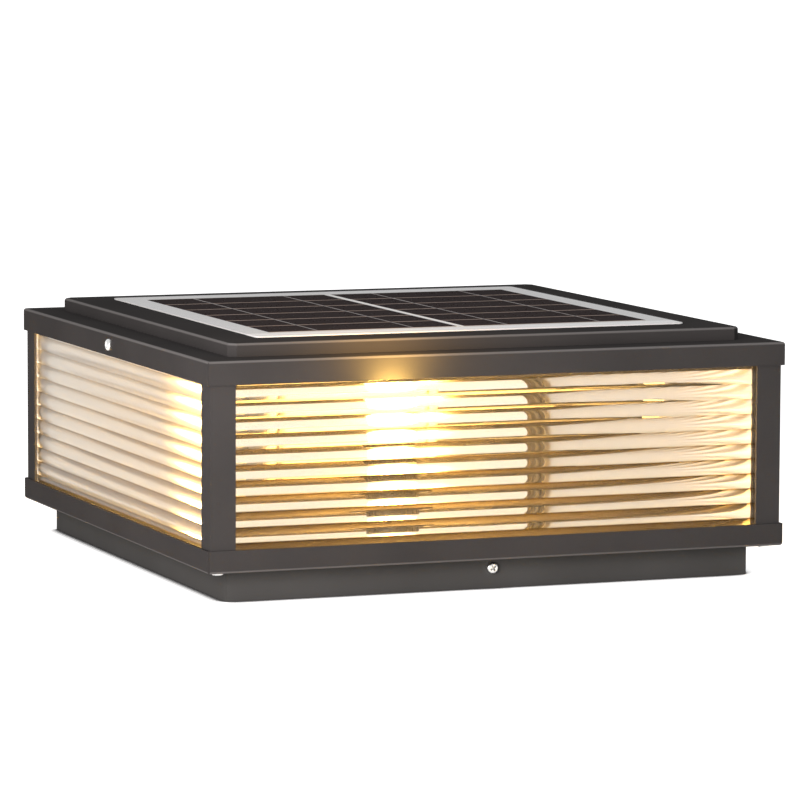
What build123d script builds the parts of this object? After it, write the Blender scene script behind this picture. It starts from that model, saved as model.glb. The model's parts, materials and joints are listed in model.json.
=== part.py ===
from build123d import *
from math import ceil, floor, radians, tan
import os

# Square solar light for the cap of a gate pillar. A folded plinth and floor pan carry four slotted
# corner posts, ribbed clear sheets stand in the slots, and a lid with the solar panel closes the top.
# Millimetres, +Z up, -Y is the front. The origin is the centre of the plinth's underside.

# Outer sizes
body_w = 300.0
plinth_inset = 13.5
plinth_h = 15.5
lower_band_h = 11.0
window_h = 78.5
upper_band_h = 11.5
tray_inset = 16.5
tray_h = 6.5
tray_clip = 3.5

# Folded sheet
sheet_t = 1.2
bend_r = 0.3
band_slip = 0.4
pan_notch = 0.9
lid_notch = 0.5
plinth_lip = 12.0

# Corner posts
post_w = 12.8
post_t = 1.2
port_r = 1.65
port_wall = 1.1
port_in = 5.7
post_lap = 1.0

# Ring on top of the posts
ring_w = 20.0
ring_relief = 12.0

# Ribbed sheets
rib_pitch = 7.4
rib_h = 0.9
glass_t = 4.5
rib_valley = 29.3
slot_gap = 0.2
glass_end_gap = 0.5
lower_seal_t = 1.5
upper_seal_t = 1.0
seal_side_gap = 0.3

# Mounting plate
plate_w = 120.0
plate_t = 1.5
plate_corner_r = 6.0
ear_w = 40.0
ear_h = 13.0
ear_gap = 0.5
ear_relief = 3.0
anchor_x = 90.0
anchor_y = 180.0
anchor_r = 3.25

# Machine screws and nuts
m3_head_r = 2.95
m3_head_h = 2.2
m3_r = 1.5
m3_hole_r = 1.7
m3_length = 8.0
nut_flats = 5.5
nut_h = 2.4
base_screw_z = 9.9
head_rounding = 0.6

# Tapping screws
tap_head_r = 3.0
tap_head_h = 1.3
tap_r = 1.6
tap_hole_r = 1.9
tap_length = 14.0

# Tray feet and rivets
foot_w = 9.0
foot_end_gap = 12.0
rivet_r = 1.6
rivet_head_r = 3.0
rivet_head_h = 1.0
rivet_bulb_r = 2.4
rivet_from_middle = 70.0

# Solar panel
panel_inset = 21.0
panel_corner_r = 3.0
tape_margin = 5.0
tape_w = 60.0
tape_t = 0.2
backsheet_t = 0.6
cell_t = 0.15
ribbon_t = 0.05
ribbon_w = 1.0
front_sheet_t = 0.25
border_x = 13.0
border_y = 18.0
cell_rows = 6
column_gap = 1.8
row_gap = 0.8

# Battery box
box_wall = 1.8
box_from_side = 66.0
box_corner_r = 4.0
box_lid_t = 2.0
boss_r = 4.0
boss_in = 8.0
boss_overlap = 0.5
cell_r = 9.1
cell_length = 65.0
cell_gap = 0.3
cell_roof_gap = 0.4
cell_end_gap = 6.4
cell_board_gap = 5.4
boss_pilot_gap = 0.05
standoff_r = 2.0
standoff_at = 26.0
tab_t = 0.3
tab_w = 7.0
board_x = 60.0
board_y = 17.0
board_t = 1.6
board_drop = 7.0
board_end_gap = 1.0
coil_r = 4.0
coil_h = 4.0
coil_x = -20.0
capacitor_r = 3.0
capacitor_h = 7.0
capacitor_x = -6.0
chip_x = 8.0
chip_size = (6.0, 5.0, 1.6)
terminal_x = 22.0
terminal_size = (8.0, 9.0, 8.0)
junction_x = 30.0
junction_y = 18.0
junction_h = 3.6
junction_corner_r = 2.0
junction_spigot_r = 2.8

# Lamp holder
holder_r = 13.5
holder_h = 24.3
holder_bore_r = 7.9
holder_base_t = 3.0
lug_past_screw = 4.3
lug_w = 9.6
screw_from_barrel = 1.75
lug_corner_r = 4.0
holder_rim_r = 1.0
holder_ribs = 20
groove_w = 1.3
groove_depth = 0.6
groove_above_base = 3.0
groove_below_rim = 2.0
shell_gap = 0.2
shell_t = 0.5
shell_below_rim = 1.3
contact_foot = 12.0
contact_w = 5.0
contact_h = 2.2
contact_t = 0.6

# Bulb
cap_gap = 0.3
cap_skirt_lap = 0.4
cap_skirt_h = 1.3
cap_above_holder = 1.5
cap_tip_r = 2.5
cap_tip_h = 1.0
cap_cone_r = 5.5
cap_cone_h = 3.5
bulb_r = 12.5
bulb_wall = 0.9
bulb_neck_r = 8.2
bulb_top = 98.0
bulb_shoulder_h = 7.0
stem_r = 1.6
stem_foot_r = 5.5
stem_rim_h = 1.0
stem_foot_h = 6.0
stem_above_filament = 2.0
filament_r = 0.8
filament_length = 34.0
filament_ring_r = 5.5
filament_count = 4
filament_above_cap = 10.0
spider_r = 0.35
spider_from_end = 1.0

# Switch in the floor
switch_from_side = 65.0
switch_body_r = 8.0
switch_body_h = 14.0
switch_rim_r = 1.0
switch_neck_r = 5.9
switch_neck_h = 5.3
switch_hole_gap = 0.2
switch_nut_flats = 15.0
switch_nut_h = 3.0
switch_thread_gap = 0.05
button_r = 4.0
button_gap = 0.3
button_proud = 2.7
button_dome_h = 1.0
collar_r = 4.9
collar_h = 2.0
collar_room_r = 5.3
collar_seat_gap = 0.1
collar_end_gap = 0.5
button_travel = 2.0

# Leads
lead_d = 3.0
panel_lead_d = 2.5
grommet_wall = 1.5
grommet_lip = 0.9
lead_wall_gap = 0.5
lead_from_glass = 5.5
lead_floor_gap = 0.3
lead_bend_r = 14.0
bend_share = 0.45
slack_from_box = 35.0
slack_from_side = 38.0
slack_behind_box = 50.0
slack_to_y = -28.0
turn_from_side = 32.0
turn_from_front = 58.0
slack_turn_above = 2.0
side_turn_in = 50.0
post_turn_drop = 1.0
plug_w = 7.0
plug_h = 5.6
plug_corner_r = 1.0
plug_length = 12.0
plug_after_turn = 46.0
plug_drop = 0.9
socket_length = 14.0
lead_seat = 1.2
clip_wall = 1.2
clip_w = 5.0
seat_gap = 0.1
clip_before_switch = 39.0
clip_after_switch = 27.0

# Levels
z_pan = plinth_h
z_floor = z_pan + sheet_t
z_window = z_pan + lower_band_h
z_band = z_window + window_h
z_lid = z_band + upper_band_h
z_ceiling = z_lid - sheet_t
z_ring = z_band + post_lap
z_tray = z_lid + tray_h
z_tray_under = z_tray - sheet_t
z_glass = z_floor + lower_seal_t
z_glass_top = z_ring - upper_seal_t
z_holder = z_floor + holder_h
z_backsheet = z_tray + tape_t
z_cells = z_backsheet + backsheet_t

# Plan sizes that follow from the ones above
plinth_w = body_w - 2 * plinth_inset
tray_w = body_w - 2 * tray_inset
panel_w = tray_w - 2 * panel_inset
box_centre_y = body_w / 2 - box_from_side
switch_at = body_w / 2 - switch_from_side
box_x = cell_length + 2 * (tab_t + cell_end_gap + box_wall)
box_y = 2 * box_wall + 2 * cell_gap + 4 * cell_r + cell_board_gap + board_y + board_end_gap
box_depth = 2 * cell_r + cell_roof_gap + box_wall
shell_r = holder_bore_r - shell_gap
shell_h = holder_h - holder_base_t - shell_below_rim
cap_r = shell_r - shell_t - cap_gap
cap_skirt_r = bulb_neck_r + cap_skirt_lap
lug_screw = holder_r + m3_head_r + screw_from_barrel
lug_reach = lug_screw + lug_past_screw
post_face = body_w / 2 - sheet_t - band_slip
slot_w = glass_t + rib_h + 2 * slot_gap
post_core = 2 * post_t + slot_w
port_at = post_face - port_in
glass_face = post_face - post_t - slot_gap
glass_back = glass_face - rib_h - glass_t
glass_half = post_face - post_core - glass_end_gap
plate_l = plinth_w - 2 * (sheet_t + ear_gap)
cover_screw_z = z_band + upper_band_h / 2
lead_r = lead_d / 2
lead_post = post_face - post_core - lead_r - lead_wall_gap
board_y_at = box_centre_y + box_y / 2 - box_wall - board_y / 2 - board_end_gap
panel_lead_y = board_y_at
grommet_r = panel_lead_d / 2 + grommet_wall
lead_side = glass_back - lead_r - lead_from_glass
slack_start_x = box_x / 2 + slack_from_box
slack_x = lead_side - slack_from_side
slack_from_y = box_centre_y - slack_behind_box
slack_turn_x = lead_side - turn_from_side
slack_turn_y = turn_from_front - body_w / 2
side_turn_y = body_w / 2 - side_turn_in
plug_start = slack_turn_y + plug_after_turn
floor_clips_at = (switch_at - clip_before_switch, switch_at + clip_after_switch)
ring_clips_at = (0.0, box_centre_y)
cover_clip_at = (slack_from_y + slack_to_y) / 2
z_lead_cover = z_ceiling - lead_r - clip_wall
z_lead = z_ring - lead_r - clip_wall
z_lead_floor = z_floor + lead_r + lead_floor_gap
cap_bottom = z_floor + holder_base_t + contact_h
cap_top = z_holder + cap_above_holder
filament_z = cap_top + filament_above_cap

LOW = (Align.CENTER, Align.CENTER, Align.MIN)
HIGH = (Align.CENTER, Align.CENTER, Align.MAX)
CORNERS = [(-1, -1), (1, -1), (1, 1), (-1, 1)]


def save(shape, node):
    export_step(shape, f"parts/{node}.step")


def group(solids):
    return Compound(children=list(solids))


def turned(shape, quarter):
    return Rot(0, 0, 90 * quarter) * shape


def slab(x, y, z, at=(0, 0, 0), align=LOW):
    return Pos(*at) * Box(x, y, z, align=align)


def rod(r, h, at=(0, 0, 0), align=LOW):
    return Pos(*at) * Cylinder(r, h, align=align)


def sheet_pan(width, height, notch, notch_from=0.0):
    """Square pan folded from one sheet: floor at z 0, four flanges up, corners open by notch."""
    outer = slab(width, width, height)
    outer = fillet(outer.edges().group_by(Axis.Z)[0], bend_r + sheet_t)
    inner = slab(width - 2 * sheet_t, width - 2 * sheet_t, height, (0, 0, sheet_t))
    inner = fillet(inner.edges().group_by(Axis.Z)[0], bend_r)
    pan = outer - inner
    for sx, sy in CORNERS:
        pan -= slab(2 * notch, 2 * notch, 2 * height, (sx * width / 2, sy * width / 2, notch_from))
    return pan


def pan_screw(head_r, head_h, shank_r, length):
    """Screw with its rounded head standing on z 0 and its shank hanging down."""
    head = rod(head_r, head_h)
    head = fillet(head.edges().group_by(Axis.Z)[-1], head_h * head_rounding)
    return head + rod(shank_r, length, align=HIGH)


def m3_screw():
    return pan_screw(m3_head_r, m3_head_h, m3_r, m3_length)


def tapping_screw():
    return pan_screw(tap_head_r, tap_head_h, tap_r, tap_length)


def hex_nut(flats, height, hole_r):
    blank = extrude(RegularPolygon(flats / 2, 6, major_radius=False), height)
    return blank - rod(hole_r, height)


# Base


def mounting_plate():
    """Strap that is bolted on the pillar, with an ear at the front and back for the plinth's screws."""
    plate = slab(plate_w, plate_l - 2 * ear_relief, plate_t)
    plate = fillet(plate.edges().filter_by(Axis.Z), plate_corner_r)
    strap = slab(ear_w, plate_l, ear_h)
    strap = fillet(strap.edges().filter_by(Axis.X).group_by(Axis.Z)[0], bend_r + plate_t)
    inner = slab(ear_w, plate_l - 2 * plate_t, ear_h, (0, 0, plate_t))
    inner = fillet(inner.edges().filter_by(Axis.X).group_by(Axis.Z)[0], bend_r)
    bracket = plate + (strap - inner)
    for sx, sy in CORNERS:
        bracket -= rod(anchor_r, plate_t, (sx * anchor_x / 2, sy * anchor_y / 2, 0))
    bracket -= Pos(0, 0, base_screw_z) * Rot(90, 0, 0) * Cylinder(m3_hole_r, plate_l)
    return bracket


def plate_nuts():
    nut = Rot(90, 0, 0) * hex_nut(nut_flats, nut_h, m3_r)
    nut = Pos(0, -(plate_l / 2 - plate_t - nut_h), base_screw_z) * nut
    return group([nut, turned(nut, 2)])


def base_screws():
    screw = Pos(0, -plinth_w / 2, base_screw_z) * Rot(90, 0, 0) * m3_screw()
    return group([screw, turned(screw, 2)])


def plinth_skirt():
    """Skirt folded down from an open frame that is welded under the floor pan."""
    skirt = Pos(0, 0, plinth_h) * Rot(180, 0, 0) * sheet_pan(plinth_w, plinth_h, lid_notch)
    window = plinth_w - 2 * (sheet_t + plinth_lip)
    skirt -= slab(window, window, 2 * plinth_h)
    skirt -= Pos(0, 0, base_screw_z) * Rot(90, 0, 0) * Cylinder(m3_hole_r, plinth_w)
    return skirt


def lower_pan():
    pan = Pos(0, 0, z_pan) * sheet_pan(body_w, lower_band_h, pan_notch)
    for sx, sy in CORNERS:
        pan -= rod(tap_hole_r, sheet_t, (sx * port_at, sy * port_at, z_pan))
    for side in (-1, 1):
        pan -= rod(m3_hole_r, sheet_t, (side * lug_screw, 0, z_pan))
    pan -= rod(switch_neck_r + switch_hole_gap, sheet_t, (switch_at, switch_at, z_pan))
    return pan


# Frame


def post_section():
    """Section of the front left post: an outer angle, a chamber with a screw port, and two slots."""
    def block(w, h, at):
        return Pos(*at) * Rectangle(w, h, align=(Align.MIN, Align.MIN))
    legs = block(post_w, post_core, (0, 0)) + block(post_core, post_w, (0, 0))
    slots = block(post_w, slot_w, (post_core, post_t)) + block(slot_w, post_w, (post_t, post_core))
    chamber = block(slot_w, slot_w, (post_t, post_t))
    port = Pos(port_in, port_in)
    return legs - slots - chamber + port * Circle(port_r + port_wall) - port * Circle(port_r)


def corner_post():
    section = Pos(-post_face, -post_face) * post_section()
    return Pos(0, 0, z_floor) * extrude(section, z_ring - z_floor)


def top_frame():
    """Ring that clamps the sheets from above. Its flanges stop short of the post screws."""
    ring = sheet_pan(2 * post_face, z_ceiling - z_ring, ring_relief, sheet_t)
    window = 2 * (post_face - ring_w)
    ring = Pos(0, 0, z_ring) * (ring - slab(window, window, sheet_t))
    for sx, sy in CORNERS:
        ring -= rod(tap_hole_r, sheet_t, (sx * port_at, sy * port_at, z_ring))
    ring -= Pos(0, 0, cover_screw_z) * Rot(0, 90, 0) * Cylinder(m3_hole_r, 2 * post_face)
    return ring


def post_screws(upward):
    """Four tapping screws in the ports, with their heads above the ring or below the floor pan."""
    screw = tapping_screw() if upward else Rot(180, 0, 0) * tapping_screw()
    level = z_ring + sheet_t if upward else z_pan
    return group(Pos(sx * port_at, sy * port_at, level) * screw for sx, sy in CORNERS)


def frame_nuts():
    nut = Rot(0, 90, 0) * hex_nut(nut_flats, nut_h, m3_r)
    nut = Pos(-(post_face - sheet_t), 0, cover_screw_z) * nut
    return group([nut, turned(nut, 2)])


def cover_screws():
    screw = Pos(-body_w / 2, 0, cover_screw_z) * Rot(0, -90, 0) * m3_screw()
    return group([screw, turned(screw, 2)])


# Ribbed sheets


def ribbed_section():
    """Section of the front sheet, x outward and y up: flat inside, half-round ribs outside."""
    base = glass_back + glass_t
    first = floor((z_glass - rib_valley) / rib_pitch)
    last = ceil((z_glass_top - rib_valley) / rib_pitch)
    low = rib_valley + first * rib_pitch
    high = rib_valley + last * rib_pitch
    edges = [Line((base, low), (glass_back, low)), Line((glass_back, low), (glass_back, high)),
             Line((glass_back, high), (base, high))]
    for i in range(first, last):
        z = rib_valley + i * rib_pitch
        crest = (base + rib_h, z + rib_pitch / 2)
        edges.append(ThreePointArc((base, z), crest, (base, z + rib_pitch)))
    sheet = make_face(edges)
    frame = Pos(glass_back, z_glass) * Rectangle(glass_t + rib_h, z_glass_top - z_glass,
                                                 align=(Align.MIN, Align.MIN))
    return sheet & frame


def ribbed_sheet():
    plane = Plane(origin=(0, 0, 0), x_dir=(0, -1, 0), z_dir=(-1, 0, 0))
    return extrude(plane * ribbed_section(), glass_half, both=True)


def seals(z, height):
    width = slot_w - 2 * seal_side_gap
    middle = post_face - post_t - slot_w / 2
    strip = slab(2 * glass_half, width, height, (0, -middle, z))
    return group(turned(strip, i) for i in range(4))


# Cover


def top_pan():
    pan = Pos(0, 0, z_lid) * Rot(180, 0, 0) * sheet_pan(body_w, upper_band_h, lid_notch)
    pan -= Pos(0, 0, cover_screw_z) * Rot(0, 90, 0) * Cylinder(m3_hole_r, body_w)
    for x, y in rivet_points():
        pan -= rod(rivet_r, sheet_t, (x, y, z_ceiling))
    for x, y in boss_points():
        pan -= rod(m3_hole_r, sheet_t, (x, y, z_ceiling))
    return pan - rod(grommet_r, sheet_t, (0, panel_lead_y, z_ceiling))


def clipped_square(width, clip):
    return chamfer(Rectangle(width, width).vertices(), clip)


def panel_tray():
    """Raised tray with 45 degree corners and a foot along each side, folded inward."""
    outer = extrude(clipped_square(tray_w, tray_clip), tray_h)
    outer = fillet(outer.edges().group_by(Axis.Z)[-1], bend_r + sheet_t)
    tray = outer - extrude(offset(clipped_square(tray_w, tray_clip), -sheet_t), tray_h - sheet_t)
    foot_l = tray_w - 2 * (tray_clip + foot_end_gap)
    foot = slab(foot_l, foot_w + sheet_t, sheet_t, (0, -(tray_w - foot_w - sheet_t) / 2, 0))
    for i in range(4):
        tray += turned(foot, i)
    for x, y in rivet_points():
        tray -= rod(rivet_r, sheet_t, (x, y, 0))
    tray -= rod(junction_spigot_r, sheet_t, (0, panel_lead_y, tray_h - sheet_t))
    return Pos(0, 0, z_lid) * tray


def rivet_points():
    line = tray_w / 2 - sheet_t - foot_w / 2
    side = [(-rivet_from_middle, -line), (rivet_from_middle, -line)]
    back = [(-x, -y) for x, y in side]
    return side + back + [(y, -x) for x, y in side + back]


def tray_rivets():
    """Blind rivets set from below, with a small bulb above each foot."""
    head = rod(rivet_head_r, rivet_head_h, (0, 0, z_ceiling), HIGH)
    head = fillet(head.edges().group_by(Axis.Z)[0], rivet_head_h * head_rounding)
    rivet = head + rod(rivet_r, 2 * sheet_t, (0, 0, z_ceiling))
    rivet += rod(rivet_bulb_r, rivet_head_h, (0, 0, z_lid + sheet_t))
    return group(Pos(x, y, 0) * rivet for x, y in rivet_points())


def panel_sheet(width, thickness, z):
    return Pos(0, 0, z) * extrude(RectangleRounded(width, width, panel_corner_r), thickness)


def panel_tape():
    """Two strips of adhesive tape under the panel's left and right parts."""
    x = (panel_w - tape_w) / 2 - tape_margin
    strip = slab(tape_w, panel_w - 2 * tape_margin, tape_t, (0, 0, z_tray))
    return group([Pos(-x, 0, 0) * strip, Pos(x, 0, 0) * strip])


def solar_cells():
    """Two columns of cells, split across the panel into equal rows."""
    field_x = panel_w - 2 * border_x
    field_y = panel_w - 2 * border_y
    cell_x = (field_x - column_gap) / 2
    cell_y = (field_y - (cell_rows - 1) * row_gap) / cell_rows
    cells = []
    for side in (-1, 1):
        for row in range(cell_rows):
            y = -field_y / 2 + cell_y / 2 + row * (cell_y + row_gap)
            cells.append(slab(cell_x, cell_y, cell_t, (side * (cell_x + column_gap) / 2, y, z_cells)))
    return group(cells)


def cell_ribbons():
    """Two tinned ribbons along each column of cells."""
    field_x = panel_w - 2 * border_x
    field_y = panel_w - 2 * border_y
    ribbon = slab(ribbon_w, field_y, ribbon_t, (0, 0, z_cells + cell_t))
    return group(Pos(field_x * share, 0, 0) * ribbon for share in (-3 / 8, -1 / 8, 1 / 8, 3 / 8))


def junction_box():
    """Potted block under the tray, with a spigot through the tray to the panel's underside."""
    block = slab(junction_x, junction_y, junction_h, (0, panel_lead_y, z_tray_under), HIGH)
    block = fillet(block.edges().filter_by(Axis.Z), junction_corner_r)
    spigot = rod(junction_spigot_r, sheet_t + tape_t, (0, panel_lead_y, z_tray_under))
    return block + spigot


# Power


def panel_lead():
    top = z_tray_under - junction_h
    bottom = z_ceiling - board_drop + board_t
    return rod(panel_lead_d / 2, top - bottom, (0, panel_lead_y, bottom))


def lead_grommet():
    """Rubber ring in the cover pan round the panel's lead."""
    ring = rod(grommet_r, sheet_t, (0, panel_lead_y, z_ceiling))
    ring += rod(grommet_r + grommet_lip, grommet_lip, (0, panel_lead_y, z_lid))
    return ring - rod(panel_lead_d / 2, 3 * sheet_t, (0, panel_lead_y, z_ceiling - sheet_t))


def boss_points():
    x = box_x / 2 + boss_r - boss_overlap
    return [(sx * x, box_centre_y + sy * (box_y / 2 - boss_in)) for sx, sy in CORNERS]


def box_outline():
    outline = RectangleRounded(box_x, box_y, box_corner_r)
    for x, y in boss_points():
        outline += Pos(x, y - box_centre_y) * Circle(boss_r)
    return Pos(0, box_centre_y) * outline


def battery_box():
    """Box under the cover pan, open downward, with four bosses outside and two standoffs inside."""
    box = extrude(box_outline(), box_depth)
    room = RectangleRounded(box_x - 2 * box_wall, box_y - 2 * box_wall, box_corner_r - box_wall)
    box -= Pos(0, box_centre_y, 0) * extrude(room, box_depth - box_wall)
    box = Pos(0, 0, z_ceiling - box_depth) * box
    standoff_h = board_drop - board_t - box_wall
    for side in (-1, 1):
        box += rod(standoff_r, standoff_h, (side * standoff_at, board_y_at, z_ceiling - box_wall), HIGH)
    for x, y in boss_points():
        box -= rod(m3_r + boss_pilot_gap, box_depth, (x, y, z_ceiling), HIGH)
    box -= rod(panel_lead_d / 2 + seat_gap, box_wall, (0, panel_lead_y, z_ceiling), HIGH)
    exit_hole = Rot(0, 90, 0) * Cylinder(lead_r + seat_gap, 4 * box_wall)
    return box - Pos(*battery_lead_points()[0]) * exit_hole


def battery_lid():
    lid = Pos(0, 0, z_ceiling - box_depth - box_lid_t) * extrude(box_outline(), box_lid_t)
    for x, y in boss_points():
        lid -= rod(m3_hole_r, box_depth + box_lid_t, (x, y, z_ceiling), HIGH)
    return lid


def battery_cells():
    """Two round cells side by side, resting on the box's lid."""
    z = z_ceiling - box_depth + cell_r
    wall_y = box_centre_y - box_y / 2 + box_wall
    cells = []
    for i in range(2):
        y = wall_y + cell_gap + cell_r + i * (2 * cell_r + cell_gap)
        cells.append(Pos(0, y, z) * Rot(0, 90, 0) * Cylinder(cell_r, cell_length))
    return group(cells)


def cell_tabs():
    """Nickel strips welded across both cells' ends."""
    z = z_ceiling - box_depth + cell_r
    y = box_centre_y - box_y / 2 + box_wall + cell_gap * 1.5 + 2 * cell_r
    length = 3 * cell_r
    strips = [slab(tab_t, length, tab_w, (s * (cell_length + tab_t) / 2, y, z - tab_w / 2)) for s in (-1, 1)]
    return group(strips)


def controller_board():
    return slab(board_x, board_y, board_t, (0, board_y_at, z_ceiling - board_drop))


def board_parts():
    """Coil, capacitor, chip and lead block under the board."""
    z = z_ceiling - board_drop
    y = board_y_at
    coil = rod(coil_r, coil_h, (coil_x, y, z), HIGH)
    capacitor = rod(capacitor_r, capacitor_h, (capacitor_x, y, z), HIGH)
    chip = slab(*chip_size, (chip_x, y, z), HIGH)
    terminals = slab(*terminal_size, (terminal_x, y, z), HIGH)
    return group([coil, capacitor, chip, terminals])


def box_screws():
    return group(Pos(x, y, z_lid) * m3_screw() for x, y in boss_points())


def lid_screws():
    level = z_ceiling - box_depth - box_lid_t
    return group(Pos(x, y, level) * Rot(180, 0, 0) * m3_screw() for x, y in boss_points())


# Lamp


def lamp_holder():
    """Moulded holder with a ribbed barrel and two screw lugs."""
    barrel = rod(holder_r, holder_h)
    barrel = fillet(barrel.edges().group_by(Axis.Z)[-1], holder_rim_r)
    groove_z = holder_base_t + groove_above_base
    groove_h = holder_h - groove_below_rim - groove_z
    groove = slab(2 * groove_depth, groove_w, groove_h, (holder_r, 0, groove_z))
    for i in range(holder_ribs):
        barrel -= Rot(0, 0, 360 * (i + 0.5) / holder_ribs) * groove
    lugs = slab(2 * lug_reach, lug_w, holder_base_t)
    lugs = fillet(lugs.edges().filter_by(Axis.Z), lug_corner_r)
    body = barrel + lugs - rod(holder_bore_r, holder_h, (0, 0, holder_base_t))
    for side in (-1, 1):
        body -= rod(m3_hole_r, holder_base_t, (side * lug_screw, 0, 0))
    entry = Rot(0, 0, 45) * Rot(0, 90, 0) * Cylinder(lead_r + seat_gap, holder_r, align=LOW)
    body -= Pos(lead_end_in_holder(), lead_end_in_holder(), z_lead_floor - z_floor) * entry
    return Pos(0, 0, z_floor) * body


def lead_end_in_holder():
    return (holder_bore_r + 0.5) / 2 ** 0.5


def holder_screws():
    level = z_floor + holder_base_t
    return group(Pos(side * lug_screw, 0, level) * m3_screw() for side in (-1, 1))


def holder_nuts():
    nut = hex_nut(nut_flats, nut_h, m3_r)
    return group(Pos(side * lug_screw, 0, z_pan - nut_h) * nut for side in (-1, 1))


def holder_shell():
    z = z_floor + holder_base_t
    return rod(shell_r, shell_h, (0, 0, z)) - rod(shell_r - shell_t, shell_h, (0, 0, z))


def holder_contact():
    """Brass tongue, folded up under the cap's tip."""
    z = z_floor + holder_base_t
    foot = slab(contact_foot, contact_w, contact_t, (0, 0, z))
    post = slab(contact_t, contact_w, contact_h, (-contact_w / 2, 0, z))
    tip = slab(contact_w, contact_w, contact_t, (0, 0, z + contact_h - contact_t))
    return foot + post + tip


def bulb_cap():
    """Screw cap: tip contact, insulating cone, barrel and rolled skirt."""
    skirt = cap_top - cap_skirt_h
    cone_top = cap_bottom + cap_cone_h
    points = [(0, cap_bottom), (cap_tip_r, cap_bottom), (cap_tip_r, cap_bottom + cap_tip_h),
              (cap_cone_r, cone_top), (cap_r, cone_top), (cap_r, skirt), (cap_skirt_r, skirt),
              (cap_skirt_r, cap_top), (0, cap_top)]
    return turned_solid(points)


def turned_solid(points):
    """Solid of revolution about Z from the corners of its half section."""
    return revolve(Plane.XZ * make_face(Polyline(*points, close=True)), Axis.Z)


def bulb_body(inset):
    """Round-topped tube of the bulb, drawn in by inset."""
    r = bulb_r - inset
    neck = bulb_neck_r - inset
    dome_z = bulb_top - bulb_r
    points = [(0, cap_top), (neck, cap_top), (r, cap_top + bulb_shoulder_h), (r, dome_z), (0, dome_z)]
    return turned_solid(points) + Pos(0, 0, dome_z) * Sphere(r)


def bulb_glass():
    return bulb_body(0) - bulb_body(bulb_wall)


def bulb_stem():
    """Flared glass foot and the rod that carries the filaments."""
    top = filament_z + filament_length + stem_above_filament
    points = [(0, cap_top), (stem_foot_r, cap_top), (stem_foot_r, cap_top + stem_rim_h),
              (stem_r, cap_top + stem_foot_h), (stem_r, top), (0, top)]
    return turned_solid(points)


def led_filaments():
    bar = rod(filament_r, filament_length, (filament_ring_r, 0, filament_z))
    return group(Rot(0, 0, 360 * (i + 0.5) / filament_count) * bar for i in range(filament_count))


def filament_wires():
    """Spider wires from the stem to both ends of each filament."""
    reach = filament_ring_r - filament_r - stem_r
    wire = Pos(stem_r, 0, 0) * Rot(0, 90, 0) * Cylinder(spider_r, reach, align=LOW)
    ends = (filament_z + spider_from_end, filament_z + filament_length - spider_from_end)
    wires = []
    for i in range(filament_count):
        for z in ends:
            wires.append(Rot(0, 0, 360 * (i + 0.5) / filament_count) * Pos(0, 0, z) * wire)
    return group(wires)


# Switch


def switch_body():
    """Housing on the floor pan, threaded neck through it and a stepped bore for the button."""
    body = rod(switch_body_r, switch_body_h, (0, 0, z_floor))
    body = fillet(body.edges().group_by(Axis.Z)[-1], switch_rim_r)
    neck_z = z_pan - switch_neck_h
    body += rod(switch_neck_r, z_floor - neck_z, (0, 0, neck_z))
    body -= rod(button_r + button_gap, z_floor - neck_z, (0, 0, neck_z))
    room_h = collar_seat_gap + collar_h + button_travel + collar_end_gap
    body -= rod(collar_room_r, room_h, (0, 0, z_floor))
    for turn in (45, 225):
        socket = Rot(0, 90, 0) * Cylinder(lead_r + seat_gap, switch_body_r, align=LOW)
        body -= Rot(0, 0, turn) * Pos(switch_body_r - lead_seat, 0, z_lead_floor) * socket
    return Pos(switch_at, switch_at, 0) * body


def switch_nut():
    nut = hex_nut(switch_nut_flats, switch_nut_h, switch_neck_r + switch_thread_gap)
    return Pos(switch_at, switch_at, z_pan - switch_nut_h) * nut


def switch_button():
    bottom = z_pan - switch_neck_h - button_proud
    seat = z_floor + collar_seat_gap
    button = rod(button_r, seat - bottom, (0, 0, bottom))
    button = fillet(button.edges().group_by(Axis.Z)[0], button_dome_h)
    button += rod(collar_r, collar_h, (0, 0, seat))
    return Pos(switch_at, switch_at, 0) * button


# Leads


def bend_radii(points):
    """Largest even bend at each corner of a route, no larger than lead_bend_r."""
    radii = []
    for a, b, c in zip(points, points[1:], points[2:]):
        run_in = Vector(*b) - Vector(*a)
        run_out = Vector(*c) - Vector(*b)
        half_turn = radians(run_in.get_angle(run_out)) / 2
        largest = bend_share * min(run_in.length, run_out.length) / tan(half_turn)
        radii.append(min(lead_bend_r, largest))
    return radii


def lead(points, diameter=lead_d):
    radii = bend_radii(points)
    print("lead bends", [round(r, 1) for r in radii])
    path = FilletPolyline(*points, radius=radii) if radii else Line(*points)
    section = Plane(origin=path @ 0, z_dir=path % 0) * Circle(diameter / 2)
    return sweep(section, path=path)


def battery_lead_points():
    """Out of the box, round a slack loop under the cover pan, to the plug at the right side."""
    wall = box_x / 2 - box_wall
    high = z_lead_cover
    return [(wall, box_centre_y, high), (slack_start_x, box_centre_y, high),
            (slack_x, slack_from_y, high), (slack_x, slack_to_y, high),
            (slack_turn_x, slack_turn_y, z_lead + slack_turn_above),
            (lead_side, slack_turn_y, z_lead), (lead_side, plug_start, z_lead)]


def plug_block(start, length):
    block = Rot(-90, 0, 0) * Box(plug_w, plug_h, length, align=LOW)
    block = fillet(block.edges().filter_by(Axis.Y), plug_corner_r)
    return Pos(lead_side, start, z_lead - plug_drop) * block


def switch_lead_points():
    """From the socket along the right side, down the back right post and across the floor."""
    start = plug_start + plug_length + socket_length
    side = switch_at + (switch_body_r - lead_seat) / 2 ** 0.5
    return [(lead_side, start, z_lead), (lead_side, side_turn_y, z_lead),
            (lead_post, lead_post, z_lead - post_turn_drop),
            (lead_post, lead_post, z_lead_floor), (side, side, z_lead_floor)]


def lamp_lead_points():
    start = switch_at - (switch_body_r - lead_seat) / 2 ** 0.5
    end = lead_end_in_holder()
    return [(start, start, z_lead_floor), (end, end, z_lead_floor)]


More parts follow.
